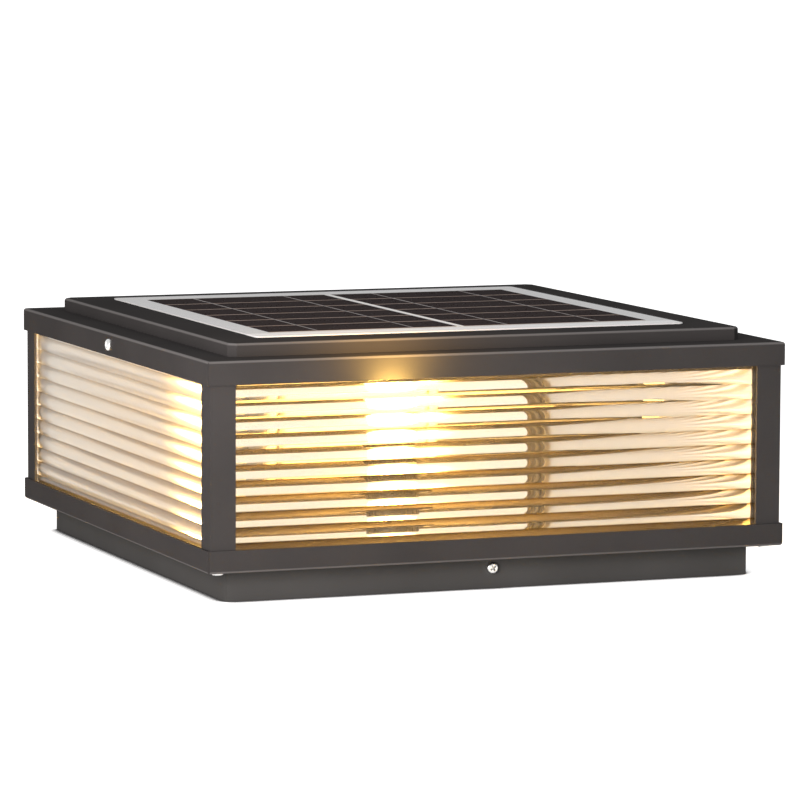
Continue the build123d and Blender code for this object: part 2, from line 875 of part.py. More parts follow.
def floor_saddle(at):
    """Saddle stuck to the floor over a lead that runs along the diagonal."""
    bore = lead_r + seat_gap
    saddle = slab(clip_w, 2 * (bore + 2 * clip_wall), z_lead_floor - z_floor + bore + clip_wall)
    saddle -= Pos(0, 0, z_lead_floor - z_floor) * Rot(0, 90, 0) * Cylinder(bore, 2 * clip_w)
    saddle -= slab(2 * clip_w, 2 * bore, z_lead_floor - z_floor)
    return Pos(at, at, z_floor) * Rot(0, 0, 45) * saddle


def hanging_saddle(x, y, z_under, z_lead_at):
    """Saddle stuck under the ring or the cover pan round a lead that runs along Y."""
    bore = lead_r + seat_gap
    drop = z_under - z_lead_at
    saddle = slab(2 * (bore + 2 * clip_wall), clip_w, drop + bore + clip_wall, align=HIGH)
    saddle -= Pos(0, 0, -drop) * Rot(90, 0, 0) * Cylinder(bore, 2 * clip_w)
    return Pos(x, y, z_under) * saddle


def lead_clips():
    clips = [floor_saddle(at) for at in floor_clips_at]
    clips += [hanging_saddle(lead_side, y, z_ring, z_lead) for y in ring_clips_at]
    clips.append(hanging_saddle(slack_x, cover_clip_at, z_ceiling, z_lead_cover))
    return group(clips)


def build_all():
    parts = {
        "mounting_plate": mounting_plate(),
        "plate_nuts": plate_nuts(),
        "base_screws": base_screws(),
        "plinth_skirt": plinth_skirt(),
        "lower_pan": lower_pan(),
        "post_front_left": corner_post(),
        "post_front_right": turned(corner_post(), 1),
        "post_back_right": turned(corner_post(), 2),
        "post_back_left": turned(corner_post(), 3),
        "lower_post_screws": post_screws(upward=False),
        "upper_post_screws": post_screws(upward=True),
        "top_frame": top_frame(),
        "frame_nuts": frame_nuts(),
        "cover_screws": cover_screws(),
        "glass_front": ribbed_sheet(),
        "glass_right": turned(ribbed_sheet(), 1),
        "glass_back": turned(ribbed_sheet(), 2),
        "glass_left": turned(ribbed_sheet(), 3),
        "lower_seals": seals(z_floor, lower_seal_t),
        "upper_seals": seals(z_glass_top, upper_seal_t),
        "top_pan": top_pan(),
        "panel_tray": panel_tray(),
        "tray_rivets": tray_rivets(),
        "panel_tape": panel_tape(),
        "solar_backsheet": panel_sheet(panel_w, backsheet_t, z_backsheet),
        "solar_cells": solar_cells(),
        "cell_ribbons": cell_ribbons(),
        "solar_cover": panel_sheet(panel_w, front_sheet_t, z_cells + cell_t + ribbon_t),
        "junction_box": junction_box(),
        "panel_lead": panel_lead(),
        "lead_grommet": lead_grommet(),
        "battery_box": battery_box(),
        "battery_lid": battery_lid(),
        "battery_cells": battery_cells(),
        "cell_tabs": cell_tabs(),
        "controller_board": controller_board(),
        "board_parts": board_parts(),
        "box_screws": box_screws(),
        "lid_screws": lid_screws(),
        "lamp_holder": lamp_holder(),
        "holder_screws": holder_screws(),
        "holder_nuts": holder_nuts(),
        "holder_shell": holder_shell(),
        "holder_contact": holder_contact(),
        "bulb_cap": bulb_cap(),
        "bulb_glass": bulb_glass(),
        "bulb_stem": bulb_stem(),
        "led_filaments": led_filaments(),
        "filament_wires": filament_wires(),
        "switch_body": switch_body(),
        "switch_nut": switch_nut(),
        "switch_button": switch_button(),
        "battery_lead": lead(battery_lead_points()),
        "lead_plug": plug_block(plug_start, plug_length),
        "lead_socket": plug_block(plug_start + plug_length, socket_length),
        "switch_lead": lead(switch_lead_points()),
        "lamp_lead": lead(lamp_lead_points()),
        "lead_clips": lead_clips(),
    }
    os.makedirs("parts", exist_ok=True)
    for node, shape in parts.items():
        save(shape, node)


build_all()
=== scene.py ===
import bmesh
import bpy
import json
import math
from mathutils import Matrix, Vector

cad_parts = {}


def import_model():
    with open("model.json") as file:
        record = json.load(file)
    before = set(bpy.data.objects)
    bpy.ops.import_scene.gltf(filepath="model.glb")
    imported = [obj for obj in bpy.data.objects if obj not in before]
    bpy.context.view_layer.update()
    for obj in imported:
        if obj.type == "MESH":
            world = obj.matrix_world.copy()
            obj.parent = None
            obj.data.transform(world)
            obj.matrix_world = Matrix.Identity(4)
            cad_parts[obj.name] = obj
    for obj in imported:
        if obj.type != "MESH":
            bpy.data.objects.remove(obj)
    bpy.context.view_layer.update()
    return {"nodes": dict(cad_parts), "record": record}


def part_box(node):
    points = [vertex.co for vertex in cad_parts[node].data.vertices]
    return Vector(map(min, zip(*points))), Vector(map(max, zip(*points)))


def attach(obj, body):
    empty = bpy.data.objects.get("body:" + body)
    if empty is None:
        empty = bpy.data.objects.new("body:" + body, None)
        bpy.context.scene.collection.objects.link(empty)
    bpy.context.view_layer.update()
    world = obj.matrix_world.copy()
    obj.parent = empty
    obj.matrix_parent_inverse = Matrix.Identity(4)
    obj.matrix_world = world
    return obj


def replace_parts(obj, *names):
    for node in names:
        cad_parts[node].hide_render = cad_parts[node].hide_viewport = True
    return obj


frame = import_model()
nodes = frame["nodes"]
MM = 0.001
BODY = "lamp_body"

# The lit lamp: its light, its size, and the brightness of the filaments and of the bulb's skin
LAMP_WATTS = 4.0
LAMP_COLOUR = (1.0, 0.60, 0.15)
LAMP_RADIUS = 6.0 * MM
FILAMENT = 35.0
SKIN = 1.1

# Lamp light that spills on the pans' front lips, and the daylight
SPILL_WATTS = 0.05
SPILL_X = -0.058
KEY_WATTS = 12.0
SKY_LIGHT, SKY_SEEN = 0.55, 1.0

# Ribs of the clear sheets: their pitch, the height of one valley, their own height, and steps per arc
PITCH, VALLEY, RIB = 7.4 * MM, 29.3 * MM, 0.82 * MM
ARC_STEPS = 20

# Clear sheets: the share of haze in front, its roughness, the share of milk, the waves' height in metres,
# the painted tints (a warm painted glow on all sheets, painted shade on the left one), and the depth from the
# outside that takes the ribs' painted light and shade
HAZE, HAZE_ROUGH, MILK, WAVE = 0.03, 0.30, 0.012, 0.00002
CLEAR_IOR = 1.49
WARM_GLOW_TINT = (0.955, 0.905, 0.83)
LEFT_PAINTED_SHADE = (0.57, 0.55, 0.52)
OUTSIDE = 2.5 * MM

# Lean of the ribs' outside: its slope, and how it eases off above a height
LEAN, EASE, EASE_FROM = 0.128, 0.725, 0.060

# Steel of the cover pan, and rows of cells on the panel
SHEET = 1.2 * MM
CELL_ROWS = 6

# Screws: radius and height of the head, radius and length of the shank; and steps per turn
M3 = (2.95 * MM, 2.2 * MM, 1.5 * MM, 8.0 * MM)
TAP = (3.0 * MM, 1.3 * MM, 1.6 * MM, 14.0 * MM)
TURN_STEPS = 48

# Powder coats: two shades of the flat faces, and a paler colour painted on the folded edges as their highlight
PAINT = {"dark": (0.045, 0.0425, 0.042), "light": (0.056, 0.0525, 0.052), "edge": (0.14, 0.134, 0.132)}
POST = {"dark": (0.048, 0.0455, 0.045), "light": (0.058, 0.0545, 0.054), "edge": (0.13, 0.125, 0.123)}
# The plinth's coat is the same paint made lighter: painted light.
PLINTH_PAINTED_LIGHT = {"dark": (0.068, 0.067, 0.065), "light": (0.082, 0.081, 0.079), "edge": (0.16, 0.159, 0.157)}
CEILING = (0.62, 0.60, 0.56)

# Floor: half its width, the reach of the shade by the lamp, and how far it's lifted to white
FLOOR_HALF = 40.0
SHADE_REACH = 0.012
LIFT = 0.8

# Camera fitted to the photo's straight edges: metres, radians, and the focal length in pixels of the photo
CAMERA_AT = (-0.86707, -2.24245, 0.33934)
YAW, TILT, ROLL = 0.3709, 0.1084, 0.0038
FOCAL, PHOTO_WIDTH = 4737.6, 800.0
SENSOR = 36.0


# Node materials

class Look:
    """One node material, or the world, built from the inside out."""

    def __init__(self, name, kind="Material"):
        store = bpy.data.worlds if kind == "World" else bpy.data.materials
        self.owner = store.new(name)
        self.owner.use_nodes = True
        self.tree = self.owner.node_tree
        self.tree.nodes.clear()
        self.out = self.tree.nodes.new("ShaderNodeOutput" + kind)
        self.place = self.node("ShaderNodeTexCoord").outputs["Object"]

    def node(self, kind, values=None, **props):
        n = self.tree.nodes.new(kind)
        for key, value in props.items():
            setattr(n, key, value)
        for key, value in (values or {}).items():
            if isinstance(value, bpy.types.NodeSocket):
                self.tree.links.new(value, n.inputs[key])
            else:
                n.inputs[key].default_value = value
        return n

    def noise(self, scale, detail=2.0, stretch=None):
        place = self.place
        if stretch:
            place = self.node("ShaderNodeMapping", {"Vector": place, "Scale": stretch}).outputs[0]
        return self.node("ShaderNodeTexNoise", {"Vector": place, "Scale": scale, "Detail": detail}).outputs["Fac"]

    def span(self, fac, low, high, to_low=0.0, to_high=1.0):
        """fac from low to high becomes to_low to to_high, held at both ends."""
        values = {"Value": fac, "From Min": low, "From Max": high, "To Min": to_low, "To Max": to_high}
        return self.node("ShaderNodeMapRange", values).outputs["Result"]

    def maths(self, operation, *values):
        return self.node("ShaderNodeMath", dict(enumerate(values)), operation=operation).outputs[0]

    def axis(self, name):
        return self.node("ShaderNodeSeparateXYZ", {"Vector": self.place}).outputs[name]

    def distance(self, a, b):
        return self.maths("ABSOLUTE", self.maths("SUBTRACT", a, b))

    def blend(self, fac, a, b):
        """Colour a turning into b; a colour Mix node takes them at sockets 6 and 7."""
        n = self.node("ShaderNodeMix", {0: fac}, data_type="RGBA")
        for key, value in ((6, a), (7, b)):
            if isinstance(value, bpy.types.NodeSocket):
                self.tree.links.new(value, n.inputs[key])
            else:
                n.inputs[key].default_value = (*value, 1.0)
        return n.outputs[2]

    def bump(self, height, strength, distance):
        values = {"Height": height, "Strength": strength, "Distance": distance}
        return self.node("ShaderNodeBump", values).outputs["Normal"]

    def shader(self, **values):
        named = {key.replace("_", " "): value for key, value in values.items()}
        for key in ("Base Color", "Emission Color", "Specular Tint"):
            if key in named and not isinstance(named[key], bpy.types.NodeSocket):
                named[key] = (*named[key], 1.0)
        return self.node("ShaderNodeBsdfPrincipled", named).outputs[0]

    def mix(self, share, a, b):
        return self.node("ShaderNodeMixShader", {0: share, 1: a, 2: b}).outputs[0]

    def facing_up(self):
        """Size of the normal's upward part: 1 on level faces, 0 on upright ones."""
        normal = self.node("ShaderNodeNewGeometry").outputs["Normal"]
        return self.maths("ABSOLUTE", self.node("ShaderNodeSeparateXYZ", {"Vector": normal}).outputs["Z"])

    def seen_ray(self):
        """1 for rays from the camera, straight or by way of glass and gloss."""
        path = self.node("ShaderNodeLightPath")
        others = self.maths("MAXIMUM", path.outputs["Is Transmission Ray"], path.outputs["Is Glossy Ray"])
        return self.maths("MAXIMUM", path.outputs["Is Camera Ray"], others)

    def done(self, surface):
        self.tree.links.new(surface, self.out.inputs["Surface"])
        return self.owner


def darker(colour, share):
    return tuple(c * (1 - share) for c in colour)


def painted_fold_highlights(look):
    """Mask of the painted highlight: 1 along the folded edges between a level and an upright face, 0 on flat
    faces.
    """
    up = look.facing_up()
    lean = look.maths("SUBTRACT", 1.0, look.maths("MULTIPLY", up, up))
    return look.span(look.maths("MULTIPLY", up, look.maths("SQRT", lean)), 0.15, 0.45)


def powder_coat(name, dark, light, edge, rough=0.5, ceiling=None):
    """Matt paint, with a painted highlight along the folds and, on the cover pan, its own colour on the
    underside.
    """
    look = Look(name)
    colour = look.blend(look.span(look.noise(14.0, 3.0), 0.3, 0.7), dark, light)
    # Painted highlight: the folds take the paler edge colour.
    colour = look.blend(painted_fold_highlights(look), colour, edge)
    if ceiling:
        level = look.maths("GREATER_THAN", look.facing_up(), 0.9)
        under = look.maths("COMPARE", look.axis("Z"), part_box("top_pan")[1].z - SHEET, 0.5 * MM)
        colour = look.blend(look.maths("MULTIPLY", level, under), colour, ceiling)
    roughness = look.span(look.noise(60.0), 0.3, 0.7, rough - 0.04, rough + 0.04)
    normal = look.bump(look.noise(1500.0), 0.25, 0.00008)
    values = {"Base_Color": colour, "Roughness": roughness, "Normal": normal, "Specular_IOR_Level": 0.0}
    return look.done(look.shader(**values))


def metal(name, colour, rough=0.3, brushed=(1.0, 1.0, 1.0)):
    look = Look(name)
    lines = look.noise(500.0, 3.0, stretch=brushed)
    deep = darker(colour, 0.06)
    shade = look.blend(look.span(look.noise(80.0), 0.3, 0.7), deep, colour)
    roughness = look.span(lines, 0.3, 0.7, rough - 0.06, rough + 0.06)
    normal = look.bump(lines, 0.2, 0.00003)
    values = {"Base_Color": shade, "Roughness": roughness, "Metallic": 1.0, "Normal": normal}
    return look.done(look.shader(**values))


def plastic(name, colour, rough=0.45):
    look = Look(name)
    shade = look.blend(look.span(look.noise(30.0), 0.3, 0.7), darker(colour, 0.12), colour)
    normal = look.bump(look.noise(2200.0), 0.2, 0.00005)
    values = {"Base_Color": shade, "Roughness": rough, "Normal": normal, "Specular_IOR_Level": 0.4}
    return look.done(look.shader(**values))


def let_lamps_through(look, surface, tint):
    """Glass that the lamps' shadow rays pass."""
    path = look.node("ShaderNodeLightPath").outputs["Is Shadow Ray"]
    clear = look.node("ShaderNodeBsdfTransparent", {"Color": (*tint, 1.0)}).outputs[0]
    return look.mix(path, surface, clear)


def ribs_painted_light(look, height, share, painted_tint):
    """Painted light and shade on the ribs' outside: a pale golden glow low on each rib, golden light under each
    valley and a dark shade line in it.
    """
    phase = look.maths("FRACT", look.maths("DIVIDE", look.maths("SUBTRACT", height, VALLEY), PITCH))
    # Painted light and shade: a pale golden glow low on each rib, golden light under each valley, and a dark
    # shade line in it.
    painted_flank_glow = look.span(phase, 0.02, 0.35, 1.0, 0.0)
    reach = look.span(height, 0.035, 0.098, 0.55, 0.10)
    painted_gold_light = look.span(look.maths("DIVIDE", look.maths("SUBTRACT", 1.0, phase), reach), 0.0, 1.0, 1.0, 0.0)
    painted_gold_light = look.maths("MULTIPLY", painted_gold_light, look.span(height, 0.060, 0.095, 1.0, 0.3))
    line = look.maths("MAXIMUM", look.span(phase, 0.0, 0.08, 1.0, 0.0), look.span(phase, 0.90, 0.95))
    line = look.maths("MULTIPLY", line, look.span(height, 0.055, 0.088, 0.97, 0.20))
    # The base is the sheet's painted tint: a warm painted glow, made darker as painted shade on the left sheet.
    tint = look.blend(look.maths("MULTIPLY", painted_flank_glow, share), painted_tint, (0.95, 0.87, 0.62))
    tint = look.blend(look.maths("MULTIPLY", painted_gold_light, share), tint, (0.60, 0.37, 0.08))
    return look.blend(look.maths("MULTIPLY", line, share), tint, (0.16, 0.065, 0.002))


def ribs_normal(look, height, outside):
    """Faint waves along the ribs, and on their outside a lean."""
    ripple = look.maths("MULTIPLY", look.noise(90.0, stretch=(0.12, 0.12, 1.0)), WAVE)
    upper = look.maths("MAXIMUM", look.maths("SUBTRACT", height, EASE_FROM), 0.0)
    eased = look.maths("MULTIPLY", look.maths("MULTIPLY", upper, upper), EASE)
    lean = look.maths("SUBTRACT", look.maths("MULTIPLY", height, LEAN), eased)
    return look.bump(look.maths("ADD", ripple, look.maths("MULTIPLY", lean, outside)), 1.0, 1.0)


def ribbed_clear(name, haze_share, painted_light_share, painted_tint):
    """Clear sheet with painted golden light and dark shade lines at the valleys on its outside, a little haze and
    milk.
    """
    look = Look(name)
    height = look.axis("Z")
    across = [look.maths("ABSOLUTE", look.axis(letter)) for letter in ("X", "Y")]
    outside = look.maths("GREATER_THAN", look.maths("MAXIMUM", *across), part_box("glass_right")[1].x - OUTSIDE)
    tint = ribs_painted_light(look, height, look.maths("MULTIPLY", outside, painted_light_share), painted_tint)
    clear = {"Base_Color": tint, "IOR": CLEAR_IOR, "Transmission_Weight": 1.0,
             "Specular_Tint": (0.25, 0.25, 0.25), "Normal": ribs_normal(look, height, outside)}
    body = look.shader(Roughness=0.0, **clear)
    haze = look.shader(Roughness=HAZE_ROUGH, **clear)
    milk = look.node("ShaderNodeBsdfTranslucent", {"Color": (1.0, 0.93, 0.80, 1.0)}).outputs[0]
    sheet = look.mix(MILK, look.mix(haze_share, body, haze), milk)
    return look.done(let_lamps_through(look, sheet, (0.92, 0.91, 0.88)))


def bulb_clear():
    """Glass of the bulb, with a faint glow of its own for the light caught in it."""
    look = Look("bulb_clear")
    smear = look.span(look.noise(40.0, 3.0), 0.3, 0.8, 0.01, 0.05)
    body = look.shader(Base_Color=(1.0, 0.97, 0.90), Roughness=smear, IOR=1.45, Transmission_Weight=1.0,
                       Emission_Color=(1.0, 0.80, 0.42), Emission_Strength=SKIN)
    return look.done(let_lamps_through(look, body, (1.0, 0.98, 0.95)))


def filament_glow():
    look = Look("filament_glow")
    grains = look.span(look.noise(900.0), 0.3, 0.7, 0.8 * FILAMENT, FILAMENT)
    body = look.shader(Base_Color=(0.9, 0.6, 0.2), Roughness=0.6, Emission_Color=(1.0, 0.70, 0.34),
                       Emission_Strength=grains)
    return look.done(body)


# The cells' field on the panel, from the CAD
field_low, field_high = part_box("solar_cells")


def laminate():
    """White sheet, tan under the cells' field, and brighter along the front as a painted highlight."""
    look = Look("white_laminate")
    x, y = look.axis("X"), look.axis("Y")
    middle, half = (field_low + field_high) / 2, (field_high - field_low) / 2
    inside_x = look.maths("LESS_THAN", look.distance(x, middle.x), half.x)
    inside_y = look.maths("LESS_THAN", look.distance(y, middle.y), half.y)
    off_gap = look.maths("GREATER_THAN", look.maths("ABSOLUTE", x), 1.1 * MM)
    field = look.maths("MULTIPLY", look.maths("MULTIPLY", inside_x, inside_y), off_gap)
    # Painted highlight: the border turns paler along the front.
    front = look.span(y, field_low.y - 4.0 * MM, field_low.y - 2.0 * MM, 1.0, 0.0)
    border_with_painted_light = look.blend(front, (0.80, 0.80, 0.80), (0.97, 0.97, 0.97))
    colour = look.blend(field, border_with_painted_light, (0.30, 0.25, 0.23))
    normal = look.bump(look.noise(900.0), 0.1, 0.00003)
    return look.done(look.shader(Base_Color=colour, Roughness=0.5, Specular_IOR_Level=0.0, Normal=normal))


def silicon():
    """Near black cells, with a tan edge along each row gap and white beside the middle gap."""
    look = Look("cell_silicon")
    colour = look.blend(look.noise(18.0, 3.0), (0.014, 0.007, 0.008), (0.026, 0.014, 0.013))
    half_gap = 0.4 * MM
    row_pitch = (field_high.y - field_low.y + 2 * half_gap) / CELL_ROWS
    from_first = look.maths("SUBTRACT", look.axis("Y"), field_low.y - half_gap)
    row = look.maths("FRACT", look.maths("DIVIDE", from_first, row_pitch))
    gap = look.maths("MINIMUM", row, look.maths("SUBTRACT", 1.0, row))
    colour = look.blend(look.span(gap, 0.030, 0.050, 0.75, 0.0), colour, (0.42, 0.33, 0.28))
    middle = look.maths("LESS_THAN", look.maths("ABSOLUTE", look.axis("X")), 1.9 * MM)
    colour = look.blend(middle, colour, (0.90, 0.89, 0.87))
    return look.done(look.shader(Base_Color=colour, Roughness=0.5, Specular_IOR_Level=0.0))


def panel_clear():
    """Thin matt front sheet, all but invisible."""
    look = Look("panel_clear")
    rough = look.span(look.noise(300.0), 0.3, 0.7, 0.35, 0.5)
    return look.done(look.shader(Base_Color=(0.8, 0.8, 0.8), Roughness=rough, Specular_IOR_Level=0.0, Alpha=0.02))


# One finish per slot of the record
LOOKS = {
    "painted_sheet": powder_coat("dark_paint", **PAINT),
    "post_paint": powder_coat("post_paint", **POST, rough=0.42),
    "zinc_steel": metal("zinc_steel", (0.62, 0.62, 0.60), 0.42),
    "bright_steel": metal("bright_steel", (0.74, 0.74, 0.73), 0.25),
    "rivet_aluminium": metal("rivet_aluminium", (0.70, 0.70, 0.70), 0.35),
    "clear_ribbed": ribbed_clear("clear_ribbed", HAZE, 1.0, WARM_GLOW_TINT),
    "seal_rubber": plastic("seal_rubber", (0.03, 0.03, 0.03), 0.7),
    "white_laminate": laminate(),
    "panel_clear": panel_clear(),
    "cell_silicon": silicon(),
    "tinned_ribbon": metal("tinned_ribbon", (0.42, 0.38, 0.36), 0.4, (1.0, 0.05, 1.0)),
    "tape": plastic("tape", (0.08, 0.08, 0.08), 0.6),
    "black_plastic": plastic("black_plastic", (0.03, 0.03, 0.03), 0.45),
    "button_plastic": plastic("button_plastic", (0.32, 0.02, 0.02), 0.4),
    "lead_jacket": plastic("lead_jacket", (0.04, 0.04, 0.04), 0.5),
    "connector_white": plastic("connector_white", (0.75, 0.73, 0.68), 0.45),
    "cell_wrap": plastic("cell_wrap", (0.05, 0.14, 0.40), 0.3),
    "board_green": plastic("board_green", (0.02, 0.12, 0.05), 0.35),
    "component_dark": plastic("component_dark", (0.05, 0.05, 0.05), 0.4),
    "brass_contact": metal("brass_contact", (0.70, 0.52, 0.25), 0.3),
    "cap_nickel": metal("cap_nickel", (0.66, 0.65, 0.62), 0.25),
    "bulb_clear": bulb_clear(),
    "filament_glow": filament_glow(),
}

# Finishes that single nodes and the two side sheets have in place of their slot's; the plinth's is the sheet
# paint lightened as painted light, the left sheet's a darker copy as painted shade
box_plastic = plastic("box_plastic", (0.60, 0.58, 0.54))
OWN_LOOKS = {
    "cell_ribbons": metal("busbar", (0.13, 0.10, 0.09), 0.45, (1.0, 0.05, 1.0)),
    "plinth_skirt": powder_coat("plinth_paint_lightened", **PLINTH_PAINTED_LIGHT),
    "top_pan": powder_coat("lid_paint", **PAINT, ceiling=CEILING),
    "battery_box": box_plastic,
    "battery_lid": box_plastic,
}
SIDE_SHEETS = {
    "right": ribbed_clear("clear_ribbed_right", 0.55, 0.2, WARM_GLOW_TINT),
    # The left sheet's tint is darker: painted shade.
    "left": ribbed_clear("clear_ribbed_left_shaded", 0.42, 0.5, LEFT_PAINTED_SHADE),
}
for part in frame["record"]["subparts"]:
    name = part["node"]
    nodes[name].data.materials.clear()
    nodes[name].data.materials.append(OWN_LOOKS.get(name, LOOKS[part["material_slot"]]))


# Pieces

def link(obj):
    bpy.context.scene.collection.objects.link(obj)
    return obj


def mesh_object(name, mesh):
    """Object from a bmesh, which is freed."""
    data = bpy.data.meshes.new(name)
    mesh.to_mesh(data)
    mesh.free()
    return link(bpy.data.objects.new(name, data))


def piece(name, mesh, slot):
    """Mesh object that rides on the lamp, in a slot's finish."""
    obj = mesh_object(name, mesh)
    obj.data.materials.append(LOOKS[slot])
    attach(obj, BODY)
    return obj


# Ribbed sheets, with finer arcs than the CAD's

def rib_profile(z_low, z_high, face):
    """The section's outer line as one list of (distance from the middle, z) per rib."""
    runs = []
    radius = (RIB * RIB + PITCH * PITCH / 4) / (2 * RIB)
    k = math.floor((z_low - VALLEY) / PITCH)
    while VALLEY + k * PITCH < z_high - 1e-6:
        z0 = VALLEY + k * PITCH
        run = []
        for i in range(ARC_STEPS + 1):
            z = z0 + PITCH * i / ARC_STEPS
            if z_low - 1e-9 <= z <= z_high + 1e-9:
                off = math.sqrt(radius ** 2 - (z - z0 - PITCH / 2) ** 2) - (radius - RIB)
                run.append((face - RIB + off, z))
        if len(run) > 1:
            runs.append(run)
        k += 1
    return runs


def ribbed_sheet(name, quarter):
    """The front sheet's mesh, turned a quarter at a time."""
    low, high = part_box("glass_front")
    face, back = -low.y, -high.y
    runs = rib_profile(low.z, high.z, face)
    mesh = bmesh.new()
    line = [p for run in runs for p in run[:-1]] + [runs[-1][-1]]
    line = [(back, low.z)] + line + [(back, high.z)]
    left = [mesh.verts.new((low.x, -d, z)) for d, z in line]
    right = [mesh.verts.new((high.x, -d, z)) for d, z in line]
    valleys = set()
    count = 1
    for run in runs:
        valleys.add(count)
        count += len(run) - 1
    valleys.add(count)
    n = len(line)
    for i in range(n):
        j = (i + 1) % n
        f = mesh.faces.new((left[i], left[j], right[j], right[i]))
        f.smooth = 0 < i < n - 2
    mesh.faces.new(left[::-1])
    mesh.faces.new(right)
    bmesh.ops.recalc_face_normals(mesh, faces=mesh.faces)
    mesh.edges.ensure_lookup_table()
    for e in mesh.edges:
        a, b = e.verts
        long_edge = abs(a.co.x - b.co.x) > 0.01
        flat = len(e.link_faces) == 2 and not all(f.smooth for f in e.link_faces)
        sharp_valley = long_edge and (a in left or b in left) and left.index(a if a in left else b) in valleys
        e.smooth = not (flat or sharp_valley)
    turn = Matrix.Rotation(math.pi / 2 * quarter, 3, "Z")
    bmesh.ops.rotate(mesh, verts=mesh.verts, cent=(0, 0, 0), matrix=turn)
    return piece(name, mesh, "clear_ribbed")


for quarter, side in enumerate(("front", "right", "back", "left")):
    sheet = ribbed_sheet("ribbed_" + side, quarter)
    if side in SIDE_SHEETS:
        sheet.data.materials[0] = SIDE_SHEETS[side]
    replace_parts(sheet, "glass_" + side)


# Screws with a cross recess

def lathe(points):
    """Closed solid of revolution from (radius, z) points; the first and last lie on the axis."""
    mesh = bmesh.new()
    rings = []
    for r, z in points:
        if r == 0:
            rings.append([mesh.verts.new((0, 0, z))])
        else:
            turn = [2 * math.pi * i / TURN_STEPS for i in range(TURN_STEPS)]
            rings.append([mesh.verts.new((r * math.cos(a), r * math.sin(a), z)) for a in turn])
    for a, b in zip(rings, rings[1:]):
        for i in range(TURN_STEPS):
            j = (i + 1) % TURN_STEPS
            corners = [a[i % len(a)], b[i % len(b)], b[j % len(b)], a[j % len(a)]]
            mesh.faces.new(list(dict.fromkeys(corners)))
    bmesh.ops.recalc_face_normals(mesh, faces=mesh.faces)
    return mesh


def cross_cutter(arm, half, top, depth):
    """Tapered cross, wide at the top."""
    mesh = bmesh.new()
    outline = []
    for k in range(4):
        turn = Matrix.Rotation(math.pi / 2 * k, 2)
        outline += [turn @ Vector(p) for p in ((arm, -half), (arm, half), (half, half))]
    upper = [mesh.verts.new((p.x, p.y, top)) for p in outline]
    lower = [mesh.verts.new((p.x * 0.45, p.y * 0.6, top - depth)) for p in outline]
    n = len(outline)
    for i in range(n):
        mesh.faces.new((upper[i], upper[(i + 1) % n], lower[(i + 1) % n], lower[i]))
    mesh.faces.new(upper)
    mesh.faces.new(lower[::-1])
    bmesh.ops.recalc_face_normals(mesh, faces=mesh.faces)
    return mesh


def cut(solid, cutter):
    """Mesh of solid less cutter, through one Boolean modifier."""
    objects = [mesh_object("blank", solid), mesh_object("cutter", cutter)]
    modifier = objects[0].modifiers.new("recess", "BOOLEAN")
    modifier.operation = "DIFFERENCE"
    modifier.solver = "EXACT"
    modifier.object = objects[1]
    shape = bmesh.new()
    shape.from_object(objects[0], bpy.context.evaluated_depsgraph_get())
    for obj in objects:
        bpy.data.objects.remove(obj)
    return shape


def screw_shape(head_r, head_h, shank_r, length):
    """Pan head with a cross recess, its underside at z 0."""
    rounding = 0.6 * head_h
    arc = [(head_r - rounding + rounding * math.sin(a), head_h - rounding + rounding * math.cos(a))
           for a in [math.pi / 2 * i / 8 for i in range(9)]]
    points = [(0, head_h)] + arc + [(head_r, 0), (shank_r, 0), (shank_r, -length), (0, -length)]
    spare = 0.1 * MM
    return cut(lathe(points), cross_cutter(0.56 * head_r, 0.14 * head_r, head_h + spare, 0.75 * head_h + spare))


def put_screws(node, shape, places):
    """The shape at each place, (point, outward axis, turn), in one object that stands for the node."""
    whole = bmesh.new()
    for at, axis, turn in places:
        copy = shape.copy()
        pose = Matrix.Translation(at) @ Vector(axis).to_track_quat("Z", "Y").to_matrix().to_4x4()
        bmesh.ops.transform(copy, matrix=pose @ Matrix.Rotation(turn, 4, "Z"), verts=copy.verts)
        data = bpy.data.meshes.new("one")
        copy.to_mesh(data)
        copy.free()
        whole.from_mesh(data)
        bpy.data.meshes.remove(data)
    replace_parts(piece(node + "_recessed", whole, "bright_steel"), node)


def four_corners(node, head_r, level, up):
    """Four screws at the corners of the node's box, facing up (1) or down (-1)."""
    low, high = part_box(node)
    middle = (low + high) / 2
    dx, dy = (high.x - low.x) / 2 - head_r, (high.y - low.y) / 2 - head_r
    places = []
    for k, (sx, sy) in enumerate(((-1, -1), (1, -1), (1, 1), (-1, 1))):
        places.append((Vector((middle.x + sx * dx, middle.y + sy * dy, level)), (0, 0, up), 0.4 + 0.7 * k))
    return places


def opposite_pair(node, head_h, axis):
    """Two screws facing out along an axis, with their heads at the ends of the node's box."""
    low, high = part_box(node)
    middle = (low + high) / 2
    reach = (high - low) / 2 - Vector((head_h, head_h, head_h))
    out = Vector(axis)
    places = []
    for k, side in enumerate((-1, 1)):
        offset = Vector((out.x * reach.x, out.y * reach.y, 0)) * side
        places.append((middle + offset, out * side, 0.55 + 0.8 * k))
    return places


def upright_pair(node, head_r, head_h):
    """Two screws side by side along X, heads up."""
    low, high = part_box(node)
    middle = (low + high) / 2
    reach = (high.x - low.x) / 2 - head_r
    places = []
    for side in (-1, 1):
        at = Vector((middle.x + side * reach, middle.y, high.z - head_h))
        places.append((at, (0, 0, 1), 0.3 + side))
    return places


machine, tapping = screw_shape(*M3), screw_shape(*TAP)
put_screws("base_screws", machine, opposite_pair("base_screws", M3[1], (0, 1, 0)))
put_screws("cover_screws", machine, opposite_pair("cover_screws", M3[1], (1, 0, 0)))
put_screws("holder_screws", machine, upright_pair("holder_screws", M3[0], M3[1]))
for node, shape, size, up in (
        ("lower_post_screws", tapping, TAP, -1),
        ("upper_post_screws", tapping, TAP, 1),
        ("box_screws", machine, M3, 1),
        ("lid_screws", machine, M3, -1)):
    low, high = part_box(node)
    level = high.z - size[1] if up > 0 else low.z + size[1]
    put_screws(node, shape, four_corners(node, size[0], level, up))


# Stage, lights and camera

